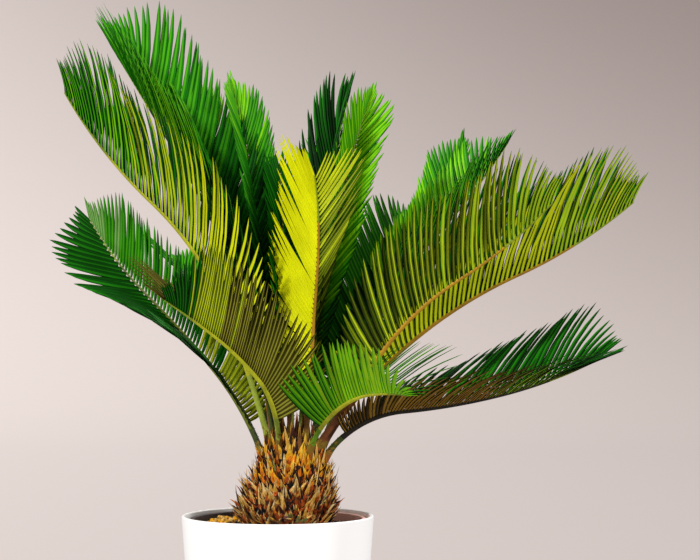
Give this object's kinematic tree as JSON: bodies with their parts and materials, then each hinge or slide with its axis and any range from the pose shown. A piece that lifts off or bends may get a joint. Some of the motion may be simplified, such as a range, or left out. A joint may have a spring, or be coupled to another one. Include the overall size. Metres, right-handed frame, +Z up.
{
  "type": "potted sago palm",
  "caption": "Sago palm with a short scaly trunk and a crown of stiff feather fronds, in a nursery pot that stands inside a round white planter.",
  "frame": {"origin": "middle of the planter's flat underside", "axes": "+Z up along the planter's axis, +X to the right and +Y to the back as the plant is usually seen"},
  "size_m": [0.8087, 0.7424, 0.9203],
  "materials": {
    "planter": "satin white glaze",
    "nursery_pot": "matt terracotta-coloured plastic",
    "soil": "damp dark potting mix with chips of bark",
    "bark": "dry fibrous leaf bases, brown below and orange at the crown",
    "leaf": "waxy green, yellow-green on the undersides"
  },
  "bodies": {
    "root": {"planter": "planter", "nursery_pot": "nursery_pot", "soil": "soil", "trunk": "bark", "frond_left_long": "leaf", "frond_left_tall": "leaf", "frond_rear_left_tall": "leaf", "frond_rear_tall": "leaf", "frond_centre_short": "leaf", "frond_rear_right_tall": "leaf", "frond_right_steep": "leaf", "frond_front_upright": "leaf", "frond_right_front": "leaf", "frond_right_long": "leaf", "frond_right_rear_high": "leaf", "frond_right_rear": "leaf", "frond_left_low": "leaf", "frond_front_left_low": "leaf", "frond_front_right_low": "leaf", "frond_right_low": "leaf", "frond_rear_low": "leaf", "frond_rear_right_low": "leaf", "frond_rear_left_low": "leaf", "frond_rear_middle": "leaf"}
  },
  "joints": []
}
